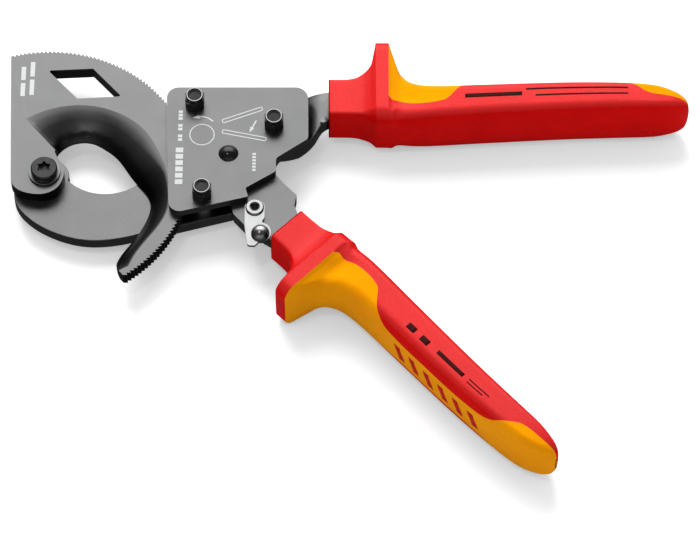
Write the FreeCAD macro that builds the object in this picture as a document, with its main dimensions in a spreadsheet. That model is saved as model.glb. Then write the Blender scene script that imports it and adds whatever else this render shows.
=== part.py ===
import FreeCAD, Part
import math
import os

import Sketcher
from FreeCAD import Placement, Rotation, Vector

# A ratchet cable cutter with insulated handles, laid flat and seen from its plate side.
# The origin is on the rest plane, directly below the axis the blade turns on.
# +X runs from the blade towards the handles, +Y towards the fixed handle, and +Z upwards.
# The steel parts lie in three layers: the jaw frame below, the blade, pawls and moving
# tang in the middle, and the side plate on top.

DIMENSIONS = {
    # heights of the three layers
    "jaw_bottom": 4.4,
    "jaw_thick": 5.4,
    "layer_bottom": 9.85,
    "layer_thick": 5.95,
    "plate_bottom": 16.1,
    "plate_thick": 3.5,
    "clearance": 0.05,
    # blade pivot
    "pivot_shank": 6.0,
    "pivot_hole": 6.1,
    "pivot_bush_outer": 7.9,
    "blade_bore": 8.0,
    "washer_outer": 12.0,
    "washer_thick": 1.0,
    "screw_head_width": 10.0,
    "screw_head_high": 2.75,
    "screw_recess_deep": 1.9,
    "pivot_nut_width": 13.0,
    "pivot_nut_floor": 0.9,
    "screw_end_gap": 0.3,
    # hollow grind
    "grind_foot": 3.0,
    "grind_crown": 0.6,
    "groove_lean": 2.0,
    # ratchet teeth
    "tooth_radius": 55.0,
    "tooth_depth": 1.0,
    "tooth_pitch": 1.68,
    "tooth_count": 96,
    "tooth_start": -55.35,
    # moving handle pivot
    "handle_x": 69.0,
    "handle_y": 6.2,
    "handle_shank": 5.0,
    "handle_hole": 5.1,
    "handle_bush_outer": 8.0,
    "tang_bore": 8.1,
    "handle_boss": 13.8,
    "dome_width": 7.5,
    "dome_high": 2.2,
    # plate bolts
    "bolt_upper_x": 56.0,
    "bolt_upper_y": 28.5,
    "bolt_right_x": 86.0,
    "bolt_right_y": 19.0,
    "bolt_lower_x": 59.5,
    "bolt_lower_y": -11.8,
    "bolt_size": 4.0,
    "bolt_hole": 4.1,
    "bolt_head_width": 7.0,
    "bolt_head_high": 2.4,
    "bolt_socket_width": 2.5,
    "bolt_socket_deep": 1.3,
    "bolt_end_below_nut": 0.7,
    "spacer_outer": 8.0,
    "nut_width": 7.0,
    "nut_hex_high": 4.5,
    "nut_high": 6.3,
    "nut_collar": 6.5,
    "nut_crown": 6.9,
    "insert_outer": 5.4,
    "insert_below_nut": 0.4,
    # pawls and their springs
    "drive_pin_x": 62.25,
    "drive_pin_y": 14.24,
    "drive_pin_size": 3.0,
    "drive_pawl_bore": 3.1,
    "drive_pawl_boss": 6.0,
    "lug_thick": 1.95,
    "lug_boss": 6.4,
    "lug_root": 5.2,
    "pawl_thick": 2.3,
    "holding_pawl_bore": 8.1,
    "holding_pawl_boss": 12.4,
    "pawl_lift": 6.0,
    "spring_post_x": 61.8,
    "spring_post_y": -3.4,
    "spring_post_size": 2.5,
    "spring_post_gap": 0.2,
    "drive_spring_radius": 1.9,
    "drive_spring_wire": 0.5,
    "holding_spring_radius": 4.7,
    "opening_spring_radius": 4.8,
    "strong_spring_wire": 0.9,
    "spring_seat_width": 11.8,
    "spring_seat_deep": 3.2,
    # transport lock lever
    "lever_x": 79.1,
    "lever_y": -16.1,
    "lever_thick": 1.2,
    "lever_hole": 4.1,
    "lever_tube": 4.0,
    "lever_tube_bore": 3.0,
    "lever_flange": 6.9,
    "lever_flange_thick": 0.8,
    "knob_x": 81.3,
    "knob_y": -27.3,
    "knob_width": 6.9,
    "knob_high": 3.1,
    "knob_stem": 3.0,
    # grips
    "grip_middle": 12.8,
    "grip_fixed_x": 106.5,
    "grip_fixed_y": 30.5,
    "grip_moving_x": 90.8,
    "grip_moving_y": -25.9,
    "grip_moving_angle": -45.5,
    "collar_thick": 17.8,
    "body_thick": 25.0,
    "guard_thick": 25.6,
}

document = FreeCAD.newDocument("cable_cutter")
sheet = document.addObject("Spreadsheet::Sheet", "dims")
for row, (alias, number) in enumerate(DIMENSIONS.items(), start=1):
    sheet.set(f"A{row}", alias)
    sheet.set(f"B{row}", str(number))
    sheet.setAlias(f"B{row}", alias)
document.recompute()

LAYER_BOTTOM = "dims.layer_bottom"
JAW_TOP = "dims.jaw_bottom + dims.jaw_thick"
LAYER_TOP = "dims.layer_bottom + dims.layer_thick"
PLATE_TOP = "dims.plate_bottom + dims.plate_thick"
SPACER_HIGH = "dims.plate_bottom - dims.jaw_bottom - dims.jaw_thick"
LEVER_BOTTOM = LAYER_TOP + " + dims.clearance"

BLADE_PIVOT = ("0", "0")
HANDLE_PIVOT = ("dims.handle_x", "dims.handle_y")
LEVER_PIVOT = ("dims.lever_x", "dims.lever_y")
LEVER_KNOB = ("dims.knob_x", "dims.knob_y")
DRIVE_PIN = ("dims.drive_pin_x", "dims.drive_pin_y")
SPRING_POST = ("dims.spring_post_x", "dims.spring_post_y")
FIXED_GRIP = ("dims.grip_fixed_x", "dims.grip_fixed_y")
MOVING_GRIP = ("dims.grip_moving_x", "dims.grip_moving_y")
BOLT_UPPER = ("dims.bolt_upper_x", "dims.bolt_upper_y")
BOLTS = [
    BOLT_UPPER,
    ("dims.bolt_right_x", "dims.bolt_right_y"),
    ("dims.bolt_lower_x", "dims.bolt_lower_y"),
]


def size(expression):
    """The number that an expression over the sheet's cells works out to."""
    return float(sheet.evalExpression(expression))


def place(point):
    """The plan position of a pair of expressions, as a vector."""
    return Vector(size(point[0]), size(point[1]), 0)


# ---------------------------------------------------------------- outlines


def vectors(points):
    return [Vector(x, y, 0) for x, y in points]


def polar(radius, degrees, centre=Vector(0, 0, 0)):
    angle = math.radians(degrees)
    return centre + Vector(radius * math.cos(angle), radius * math.sin(angle), 0)


def turned(point, centre, degrees):
    """A plan point turned about a centre, anticlockwise."""
    return centre + Rotation(Vector(0, 0, 1), degrees).multVec(point - centre)


def line(start, end):
    return Part.LineSegment(Vector(*start), Vector(*end))


def chain(points):
    """Straight lines from each point to the next."""
    return [line(start, end) for start, end in zip(points, points[1:])]


def loop(points):
    """A closed outline of straight lines."""
    return chain(list(points) + [points[0]])


def arc(start, middle, end):
    """The arc through three points, as a sketch wants it: anticlockwise about +Z."""
    through = Part.Circle(Vector(*start), Vector(*middle), Vector(*end))
    centre = through.Center
    first, passing, last = (
        math.atan2(point[1] - centre.y, point[0] - centre.x)
        for point in (start, middle, end)
    )
    full = 2 * math.pi
    if (passing - first) % full > (last - first) % full:
        first, last = last, first
    circle = Part.Circle(centre, Vector(0, 0, 1), through.Radius)
    return Part.ArcOfCircle(circle, first, first + (last - first) % full)


def dome(radius, foot, top):
    """Half of a spherical cap's outline, from its foot circle up to the axis."""
    rise = top - foot
    ball = (radius**2 + rise**2) / (2 * rise)
    centre = top - ball
    half = math.asin(radius / ball) / 2
    middle = (ball * math.sin(half), centre + ball * math.cos(half), 0)
    return arc((radius, foot, 0), middle, (0, top, 0))


def curve(points):
    """A smooth curve through all of the points."""
    spline = Part.BSplineCurve()
    spline.interpolate(points)
    return spline


def rounded(corners):
    """A closed outline of lines and arcs round corners given as (x, y, radius)."""
    count = len(corners)
    pieces = []
    entries = []
    exits = []
    for index, (x, y, radius) in enumerate(corners):
        here = Vector(x, y, 0)
        back = Vector(*corners[index - 1][:2], 0) - here
        ahead = Vector(*corners[(index + 1) % count][:2], 0) - here
        back.normalize()
        ahead.normalize()
        half = back.getAngle(ahead) / 2
        reach = radius / math.tan(half)
        entries.append(here + back * reach)
        exits.append(here + ahead * reach)
        if radius:
            towards = back + ahead
            towards.normalize()
            middle = here + towards * (radius / math.sin(half) - radius)
            pieces.append(arc(entries[-1], middle, exits[-1]))
    for index in range(count):
        pieces.append(line(exits[index - 1], entries[index]))
    return pieces


def hexagon(centre, across_flats):
    """A hexagon with two corners towards +Y and -Y."""
    radius = across_flats / math.sqrt(3)
    return loop([polar(radius, 30 + 60 * side, centre) for side in range(6)])


def star_recess(outer, inner):
    """The six-lobed outline of a star drive."""
    flank = (outer + inner) / 2
    half_lobe = 11
    pieces = []
    for lobe in range(6):
        angle = 60 * lobe + 30
        tip = (polar(flank, angle - half_lobe), polar(outer, angle), polar(flank, angle + half_lobe))
        valley = (tip[2], polar(inner, angle + 30), polar(flank, angle + 60 - half_lobe))
        pieces += [arc(*tip), arc(*valley)]
    return pieces


# ---------------------------------------------------------------- bodies


def new_body(label, height=None, point=None):
    """An empty body whose placement follows the sheet."""
    body = document.addObject("PartDesign::Body", label)
    body.Label = label
    body.AllowCompound = True
    if height:
        body.setExpression(".Placement.Base.z", height)
    if point:
        body.setExpression(".Placement.Base.x", point[0])
        body.setExpression(".Placement.Base.y", point[1])
    return body


def new_sketch(body, name, pieces, plane="XY_Plane", height=None):
    """A sketch on one of the body's own origin planes."""
    sketch = body.newObject("Sketcher::SketchObject", name)
    support = next(item for item in body.Origin.OriginFeatures if item.Role == plane)
    sketch.AttachmentSupport = [(support, "")]
    sketch.MapMode = "FlatFace"
    if height:
        sketch.setExpression(".AttachmentOffset.Base.z", height)
    if pieces:
        sketch.addGeometry(pieces, False)
    return sketch


def add_circle(sketch, diameter, point=BLADE_PIVOT):
    """A circle whose diameter and centre are held to the sheet by constraints."""
    where = place(point)
    radius = size(diameter) / 2
    index = sketch.addGeometry(Part.Circle(where, Vector(0, 0, 1), radius), False)
    bound = [("Diameter", (index, 2 * radius), diameter)]
    if point == BLADE_PIVOT:
        sketch.addConstraint(Sketcher.Constraint("Coincident", index, 3, -1, 1))
    else:
        bound.append(("DistanceX", (-1, 1, index, 3, where.x), point[0]))
        bound.append(("DistanceY", (-1, 1, index, 3, where.y), point[1]))
    for kind, values, expression in bound:
        number = sketch.addConstraint(Sketcher.Constraint(kind, *values))
        sketch.setExpression(f"Constraints[{number}]", expression)


def add_pad(body, sketch, length):
    pad = body.newObject("PartDesign::Pad", sketch.Name + "_pad")
    pad.Profile = sketch
    pad.setExpression("Length", length)
    document.recompute()
    return pad


def add_pocket(body, sketch, depth=None, upwards=False):
    """Cut a sketch downwards, or upwards, by a depth, or through all."""
    before = body.Shape.Volume
    pocket = body.newObject("PartDesign::Pocket", sketch.Name + "_cut")
    pocket.Profile = sketch
    pocket.Reversed = upwards
    if depth:
        pocket.setExpression("Length", depth)
    else:
        pocket.Type = "ThroughAll"
        pocket.Midplane = True
    document.recompute()
    if not body.Shape.Volume < before:
        raise ValueError(f"{sketch.Name} cuts nothing")
    return pocket


def flat_part(label, outline, height, thick, holes=()):
    """A plate cut to an outline, with round holes given as (diameter, point)."""
    body = new_body(label, height)
    sketch = new_sketch(body, label + "_outline", outline)
    for diameter, point in holes:
        add_circle(sketch, diameter, point)
    add_pad(body, sketch, thick)
    return body


def round_part(label, profile, height, point):
    """A turned part: a closed (radius, height) profile spun about its own axis."""
    body = new_body(label, height, point)
    sketch = new_sketch(body, label + "_profile", profile, "XZ_Plane")
    spin = body.newObject("PartDesign::Revolution", label + "_turned")
    spin.Profile = sketch
    spin.ReferenceAxis = (sketch, ["V_Axis"])
    spin.Angle = 360
    document.recompute()
    return body


def ring(label, outer, inner, height, thick, points):
    """Plain tubes or washers standing at one or more points."""
    body = new_body(label, height)
    sketch = new_sketch(body, label + "_outline", None)
    for point in points:
        add_circle(sketch, outer, point)
        add_circle(sketch, inner, point)
    add_pad(body, sketch, thick)
    return body


# ---------------------------------------------------------------- jaw frame


def build_jaw_frame():
    """The fixed jaw, rear body plate and upper tang, which are one bent forging."""
    jaw_outside = vectors([
        (-11.5, -3), (-11, -9), (-5, -17), (5, -23), (15, -25.8), (25, -25.7), (36, -23.2),
    ])
    lower_edge = vectors([
        (36, -23.2), (50, -19.9), (75.6, -12.9), (75, -9.2), (84.3, -3), (84.3, 6), (88, 11.8),
    ])
    tang_edge = vectors([(88, 11.8), (95, 13.3), (101.3, 17.4), (104, 21.6), (106.5, 23.2), (112, 25)])
    tang_end = vectors([(112, 25), (165, 25.5), (165, 30.5), (112, 35), (106.5, 36)])
    top_edge = vectors([(106.5, 36), (98, 35.2), (50, 35.2)])
    back_corner = vectors([(50, 35.2), (46.8, 33.8), (45.4, 30.5)])
    opening_side = vectors([(45.4, 30.5), (43.5, 16), (40.5, 6), (34.5, -1.6)])
    cutting_arc = vectors([(34.5, -1.6), (22.3, -5.6), (8.5, 0.2)])
    pivot_boss = vectors([(8.5, 0.2), (7.6, 6), (0, 10.5), (-8.2, 6.6), (-11.5, -3)])
    outline = [curve(jaw_outside), curve(opening_side), arc(*cutting_arc), curve(pivot_boss)]
    outline += [arc(*back_corner), curve(tang_edge)]
    for edge in (lower_edge, tang_end, top_edge):
        outline += chain(edge)
    holes = [("dims.pivot_hole", BLADE_PIVOT), ("dims.handle_hole", HANDLE_PIVOT)]
    holes += [("dims.bolt_hole", bolt) for bolt in BOLTS]
    holes.append(("dims.spring_post_size", SPRING_POST))
    body = flat_part(
        "fixed_jaw_frame", outline, "dims.jaw_bottom", LAYER_TOP + " - dims.jaw_bottom", holes
    )
    # The bend: the tang starts to rise under the plate's edge, and is one layer up at the grip.
    jaw_thick = size("dims.jaw_thick")
    layer_top = size(LAYER_TOP + " - dims.jaw_bottom")
    rise = layer_top - jaw_thick
    ramp = [(93, 0), (96, 0.32), (99, 0.65), (101.6, 0.86), (104, 0.96), (107, 1)]
    top_side = [curve(vectors([(along, jaw_thick + rise * share) for along, share in ramp]))]
    top_side += chain(vectors([(107, layer_top), (107, 30), (-30, 30), (-30, jaw_thick), (93, jaw_thick)]))
    bend_width = 2.2
    low_side = [curve(vectors([(along + bend_width, jaw_thick * share) for along, share in ramp]))]
    low_side += chain(vectors([
        (107 + bend_width, jaw_thick), (180, jaw_thick), (180, -10), (93 + bend_width, -10),
        (93 + bend_width, 0),
    ]))
    for name, side in (("above_the_frame", top_side), ("below_the_tang", low_side)):
        add_pocket(body, new_sketch(body, name, side, "XZ_Plane"))
    return body


def build_front_plate():
    """The bolted side plate that closes the ratchet."""
    corners = [
        (47.2, -20.3, 4.2),
        (76.6, -12.8, 0.5),
        (75.6, -9.0, 0.6),
        (86.8, -1.7, 1.2),
        (86.8, 4.1, 2.5),
        (98.9, 12.8, 2.0),
        (98.7, 35.8, 5.0),
        (45.1, 35.8, 4.5),
    ]
    holes = [("dims.handle_hole", HANDLE_PIVOT)]
    holes += [("dims.bolt_hole", bolt) for bolt in BOLTS]
    return flat_part("front_plate", rounded(corners), "dims.plate_bottom", "dims.plate_thick", holes)


# ---------------------------------------------------------------- blade

# The cutting edge from the pivot boss, round the hollow, to the hook's tip.
CUTTING_EDGE = vectors([
    (3.4, 9.4), (5, 12.4), (8, 15.1), (13, 16.7), (18, 16), (22, 13.6), (26, 10.3), (30, 4.8),
    (34, -1.2), (38, -6.2), (39.8, -10.5), (39.2, -16), (37, -21.4), (33, -28), (29.4, -33.4), (28, -36.5),
])
# Where the ground face starts, above the steep wall behind the edge.
BEVEL_FOOT = vectors([
    (1.6, 11.6), (4.4, 15.5), (8, 17.8), (13.3, 19.1), (19.3, 18.3), (24, 15.7), (28.3, 11.8), (32.5, 6.2),
    (36.3, 0), (39.9, -5.4), (41.7, -10), (41.2, -15.9), (39, -21.8), (34.9, -28.3), (31.1, -34.2),
    (29.4, -37.5),
])
# Where the ground face runs out into the blade's flat face.
BEVEL_RIM = vectors([
    (-8, 24), (-3.5, 26.6), (3, 29), (11, 30.2), (20, 29.2), (27, 26.6), (33.5, 22.4), (38.5, 17),
    (42.3, 10), (45.2, 3), (47, -5.5), (47.2, -15), (44.5, -22), (40.3, -28.2), (36, -34.5), (33, -41),
])


def blade_teeth():
    """Saw teeth along the blade's back: a long slope up, then a steep face."""
    pitch = size("dims.tooth_pitch")
    start = size("dims.tooth_start")
    tip = size("dims.tooth_radius")
    root = tip - size("dims.tooth_depth")
    slope_share = 0.88
    points = []
    for tooth in range(int(size("dims.tooth_count"))):
        angle = start + pitch * tooth
        points += [polar(root, angle), polar(tip, angle + slope_share * pitch)]
    points.append(polar(root, start + pitch * size("dims.tooth_count")))
    return points


def grind_height(share):
    """Height of the ground face above the blade's underside, from its foot, 0, to its rim, 1."""
    foot = size("dims.grind_foot")
    crown = size("dims.grind_crown")
    return foot + (size("dims.layer_thick") - foot) * ((1 + crown) * share - crown * share**2)


def grind_wire(height, points, depth):
    """One level of the space that the grinding removes; its end wall leans out with depth."""
    lean = polar(size("dims.groove_lean") * depth, 40.5)
    mouth_side = vectors([(22, -46), (14, -22), (12, 3)]) + [Vector(6.5, 6.5, 0) + lean]
    points = [points[0] + lean] + points[1:]
    pieces = [curve(points).toShape()]
    pieces += [piece.toShape() for piece in chain([points[-1]] + mouth_side + [points[0]])]
    wire = Part.Wire(pieces)
    wire.translate(Vector(0, 0, size(LAYER_BOTTOM) + height))
    return wire


def hollow_grind():
    """The steep wall behind the cutting edge, and the crowned face from its top to the rim."""
    past_edge = 0.8
    past_underside = 0.1
    inside = [
        point + (point - foot).normalize() * past_edge for point, foot in zip(CUTTING_EDGE, BEVEL_FOOT)
    ]
    below = grind_wire(-past_underside, inside, 1)
    levels = []
    for share in (0, 0.2, 0.4, 0.6, 0.8, 1, 1.2):
        points = [foot + (rim - foot) * share for foot, rim in zip(BEVEL_FOOT, BEVEL_RIM)]
        levels.append(grind_wire(grind_height(share), points, max(1 - share, 0)))
    wall = Part.makeLoft([below, levels[0]], True, True)
    return wall.fuse(Part.makeLoft(levels, True, False))


def build_blade():
    """The toothed, hollow-ground cutting blade with its hanging window."""
    teeth = blade_teeth()
    boss_side = vectors([(-15.1, 53), (-12.6, -3)])
    boss = vectors([(-12.6, -3), (-9.6, -7.4), (-5, -9.1), (0, -9.2), (4.4, -7), (7.2, -1), (6.2, 4.6)])
    hook = vectors([(28, -36.5), (28.3, -40), (29.4, -42.8)])
    outline = [line(teeth[-1], boss_side[0]), line(*boss_side), curve(boss)]
    outline.append(curve([boss[-1], Vector(4.3, 7.2, 0), CUTTING_EDGE[0]]))
    outline += [curve(CUTTING_EDGE), curve(hook), line(hook[-1], teeth[0])]
    outline += chain(teeth)
    window = rounded([(-0.5, 45.9, 0.5), (11, 33.2, 0.8), (27.7, 34.2, 0.5), (16.5, 46.8, 0.8)])
    body = flat_part(
        "blade_blank", outline + window, LAYER_BOTTOM, "dims.layer_thick", [("dims.blade_bore", BLADE_PIVOT)]
    )
    grind = document.addObject("Part::Feature", "hollow_grind")
    grind.Shape = hollow_grind()
    blade = document.addObject("Part::Cut", "moving_blade")
    blade.Label = "moving_blade"
    blade.Base = body
    blade.Tool = grind
    return blade


# ---------------------------------------------------------------- blade pivot


def build_blade_pivot():
    """The screw, washer, bush and closed nut that the blade turns on."""
    shank = size("dims.pivot_shank") / 2
    head = size("dims.screw_head_width") / 2
    head_high = size("dims.screw_head_high")
    washer_bottom = LAYER_TOP + " + dims.clearance"
    bush_high = washer_bottom + " - dims.jaw_bottom - dims.jaw_thick"
    head_bottom = washer_bottom + " + dims.washer_thick"
    shank_end = size("dims.pivot_nut_floor + dims.screw_end_gap") - size(head_bottom)
    bevel = 0.5
    profile = loop(vectors([
        (0, shank_end), (shank - bevel, shank_end), (shank, shank_end + bevel), (shank, 0), (head, 0),
        (head, head_high - bevel), (head - bevel, head_high), (0, head_high),
    ]))
    screw = round_part("blade_pivot_screw", profile, head_bottom, BLADE_PIVOT)
    recess = new_sketch(screw, "star_recess", star_recess(2.8, 2.05), height="dims.screw_head_high")
    add_pocket(screw, recess, "dims.screw_recess_deep")
    washer = ring(
        "blade_pivot_washer", "dims.washer_outer", "dims.pivot_hole", washer_bottom, "dims.washer_thick",
        [BLADE_PIVOT],
    )
    bush = ring(
        "blade_pivot_bush", "dims.pivot_bush_outer", "dims.pivot_hole", JAW_TOP, bush_high, [BLADE_PIVOT]
    )
    nut = new_body("blade_pivot_nut")
    outline = hexagon(Vector(0, 0, 0), size("dims.pivot_nut_width"))
    add_pad(nut, new_sketch(nut, "pivot_nut_outline", outline), "dims.jaw_bottom")
    thread = new_sketch(nut, "pivot_nut_thread", None, height="dims.pivot_nut_floor")
    add_circle(thread, "dims.pivot_hole")
    add_pocket(nut, thread, "dims.jaw_bottom", upwards=True)
    return [screw, washer, bush, nut]


# ---------------------------------------------------------------- moving tang


def build_moving_tang():
    """The moving handle's steel tang, with a thin lug that carries the drive pawl."""
    right_edge = vectors([
        (100.5, -29.8), (95.2, -21.6), (95, -17.6), (93.8, -14.4), (94.6, -9.7), (90, -5), (87, -1.2),
        (83, 5), (75.4, 9.4),
    ])
    left_edge = vectors([
        (62.3, 3.6), (66.8, -5), (70.2, -14.6), (71.2, -18.2), (75.4, -23), (86.4, -30.2), (94.6, -36),
    ])
    grip_end = vectors([(94.6, -36), (130.2, -70.6), (135.2, -66.2), (100.5, -29.8)])
    outline = chain(right_edge) + chain(left_edge) + chain(grip_end)
    boss_top = polar(size("dims.handle_boss") / 2, 112, place(HANDLE_PIVOT))
    outline.append(arc(right_edge[-1], boss_top, left_edge[0]))
    body = flat_part(
        "moving_handle_tang", outline, LAYER_BOTTOM, "dims.layer_thick",
        [("dims.tang_bore", HANDLE_PIVOT), ("dims.lever_hole", LEVER_PIVOT)],
    )
    pin = place(DRIVE_PIN)
    pivot = place(HANDLE_PIVOT)
    along = (pin - pivot).normalize()
    across = Vector(-along.y, along.x, 0) * (size("dims.lug_boss") / 2)
    lug = new_sketch(body, "pawl_lug", None)
    root = pivot + along * size("dims.lug_root")
    tip = pin + along * (size("dims.lug_boss") / 2)
    lug.addGeometry([line(root + across, pin + across), line(root - across, pin - across)], False)
    lug.addGeometry([line(root + across, root - across), arc(pin + across, tip, pin - across)], False)
    add_pad(body, lug, "dims.lug_thick")
    hole = new_sketch(body, "drive_pin_hole", None)
    add_circle(hole, "dims.drive_pin_size", DRIVE_PIN)
    add_pocket(body, hole, "dims.lug_thick", upwards=True)
    spring_seat = new_sketch(body, "spring_seat", None, height="dims.layer_thick")
    add_circle(spring_seat, "dims.spring_seat_width", HANDLE_PIVOT)
    add_pocket(body, spring_seat, "dims.spring_seat_deep")
    # The spring's tail leaves through a mouth whose lower wall runs beside the tail.
    mouth = [(3, 200), (12, 200), (12, 221), (11.5, 242), (5.5, 292), (3, 292)]
    mouth_outline = loop([polar(radius, angle, pivot) for radius, angle in mouth])
    mouth_sketch = new_sketch(body, "spring_mouth", mouth_outline, height="dims.layer_thick")
    add_pocket(body, mouth_sketch, "dims.spring_seat_deep")
    return body


def build_handle_pivot():
    """The domed rivet and the bush that the moving handle turns on."""
    shank = size("dims.handle_shank") / 2
    head = size("dims.dome_width") / 2
    dome_high = size("dims.dome_high")
    grip_length = size(PLATE_TOP + " - dims.jaw_bottom")
    tail_high = 1.5
    bevel = 0.6
    tail = -grip_length - tail_high
    profile = chain(vectors([
        (0, dome_high), (0, tail), (head - bevel, tail), (head, tail + bevel), (head, -grip_length),
        (shank, -grip_length), (shank, 0), (head, 0),
    ]))
    profile.append(dome(head, 0, dome_high))
    rivet = round_part("handle_pivot_rivet", profile, PLATE_TOP, HANDLE_PIVOT)
    bush = ring(
        "handle_pivot_bush", "dims.handle_bush_outer", "dims.handle_hole", JAW_TOP, SPACER_HIGH,
        [HANDLE_PIVOT],
    )
    return [rivet, bush]


# ---------------------------------------------------------------- bolts


def nut_crown():
    """The turned outline that chamfers a lock nut's corners and rounds its collar."""
    crown = size("dims.nut_crown") / 2
    hex_high = size("dims.nut_hex_high")
    high = size("dims.nut_high")
    collar = size("dims.nut_collar") / 2
    past_corner = 0.1
    corner = size("dims.nut_width") / math.sqrt(3) + past_corner
    slope = (corner - crown) * math.tan(math.radians(30))
    rim_high = 0.5
    rim_lean = 0.2
    return vectors([
        (0, 0), (crown, 0), (corner, slope), (corner, hex_high - slope), (crown, hex_high),
        (collar, hex_high + (crown - collar) / 2), (collar, high - rim_high), (collar - rim_lean, high),
        (0, high),
    ])


def build_bolts():
    """Three bolts with spacers and self-locking nuts, each set as one group."""
    bolts = new_body("plate_bolts", "dims.jaw_bottom")
    heads = new_sketch(bolts, "bolt_heads", None, height="-dims.bolt_head_high")
    shanks = new_sketch(bolts, "bolt_shanks", None)
    for bolt in BOLTS:
        add_circle(heads, "dims.bolt_head_width", bolt)
        add_circle(shanks, "dims.bolt_size", bolt)
    add_pad(bolts, heads, "dims.bolt_head_high")
    add_pad(bolts, shanks, PLATE_TOP + " + dims.nut_high - dims.bolt_end_below_nut - dims.jaw_bottom")
    sockets = []
    for bolt in BOLTS:
        sockets += hexagon(place(bolt), size("dims.bolt_socket_width"))
    socket_sketch = new_sketch(bolts, "bolt_sockets", sockets, height="-dims.bolt_head_high")
    add_pocket(bolts, socket_sketch, "dims.bolt_socket_deep", upwards=True)
    spacers = ring("plate_spacers", "dims.spacer_outer", "dims.bolt_hole", JAW_TOP, SPACER_HIGH, BOLTS)
    blanks = new_body("nut_blanks", PLATE_TOP)
    hexes = []
    for bolt in BOLTS:
        hexes += hexagon(place(bolt), size("dims.nut_width"))
    hex_sketch = new_sketch(blanks, "nut_hexes", hexes)
    collars = new_sketch(blanks, "nut_collars", None, height="dims.nut_hex_high")
    for bolt in BOLTS:
        add_circle(hex_sketch, "dims.bolt_hole", bolt)
        add_circle(collars, "dims.nut_collar", bolt)
        add_circle(collars, "dims.insert_outer", bolt)
    add_pad(blanks, hex_sketch, "dims.nut_hex_high")
    add_pad(blanks, collars, "dims.nut_high - dims.nut_hex_high")
    crowns = document.addObject("Part::MultiFuse", "nut_crowns")
    crowns.Shapes = [
        round_part(f"nut_crown_{number}", loop(nut_crown()), PLATE_TOP, bolt)
        for number, bolt in enumerate(BOLTS, start=1)
    ]
    nuts = document.addObject("Part::Common", "lock_nuts")
    nuts.Base = blanks
    nuts.Tool = crowns
    inserts = ring(
        "nut_inserts", "dims.insert_outer", "dims.bolt_hole", PLATE_TOP + " + dims.nut_hex_high",
        "dims.nut_high - dims.nut_hex_high - dims.insert_below_nut", BOLTS,
    )
    return [bolts, spacers, nuts, inserts]


# ---------------------------------------------------------------- ratchet


def pawl_arm(tooth_angle, boss_centre, boss_diameter, lift):
    """A pawl's arm: its nose fits a tooth gap, and lift turns it clear of the teeth."""
    root = size("dims.tooth_radius - dims.tooth_depth")
    flank_angle = tooth_angle + 0.2
    nose = polar(root + 0.3, flank_angle)
    inside = polar(root + 2.1, tooth_angle + 2.1)
    outside = polar(root + 3.4, flank_angle)
    along = (boss_centre - nose).normalize()
    half_width_share = 0.42
    across = Vector(-along.y, along.x, 0) * (boss_diameter * half_width_share)
    points = [nose, inside, boss_centre + across, boss_centre - across, outside]
    if (inside - outside).dot(across) < 0:
        points = [nose, inside, boss_centre - across, boss_centre + across, outside]
    return loop([turned(point, boss_centre, lift) for point in points])


def build_pawl(label, tooth, pivot, boss, bore, height):
    """A ratchet pawl, drawn lifted clear of the teeth."""
    body = new_body(label, height)
    boss_sketch = new_sketch(body, label + "_boss", None)
    add_circle(boss_sketch, boss, pivot)
    add_pad(body, boss_sketch, "dims.pawl_thick")
    tooth_angle = size("dims.tooth_start") + tooth * size("dims.tooth_pitch")
    arm = pawl_arm(tooth_angle, place(pivot), size(boss), size("dims.pawl_lift"))
    add_pad(body, new_sketch(body, label + "_arm", arm), "dims.pawl_thick")
    hole = new_sketch(body, label + "_bore", None)
    add_circle(hole, bore, pivot)
    add_pocket(body, hole, "dims.pawl_thick", upwards=True)
    return body


def torsion_spring(label, point, radius, wire, bottom, turns, start_angle, tails):
    """A wound wire spring; tails holds the length of the straight tail from each end."""
    radius = size(radius)
    wire = size(wire)
    splay = 75
    step = 20
    pitch = wire * 1.1
    rise = Vector(0, 0, pitch * turns)
    path = []
    for turn in range(step, 360 * turns, step):
        path.append(polar(radius, turn) + rise * (turn / (360 * turns)))
    seat = polar(radius, 0)
    for share in (0.4, 1.0):
        path.insert(0, seat + polar(tails[0] * share, -splay))
        path.append(seat + rise + polar(tails[1] * share, splay))
    spine = curve(path)
    section = Part.Circle(path[0], spine.tangent(spine.FirstParameter)[0], wire / 2)
    spring = document.addObject("Part::Feature", label)
    spring.Label = label
    spring.Shape = Part.Wire(spine.toShape()).makePipeShell([Part.Wire(section.toShape())], True, False)
    where = place(point)
    where.z = bottom + wire / 2
    spring.Placement = Placement(where, Rotation(Vector(0, 0, 1), start_angle))
    return spring


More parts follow.
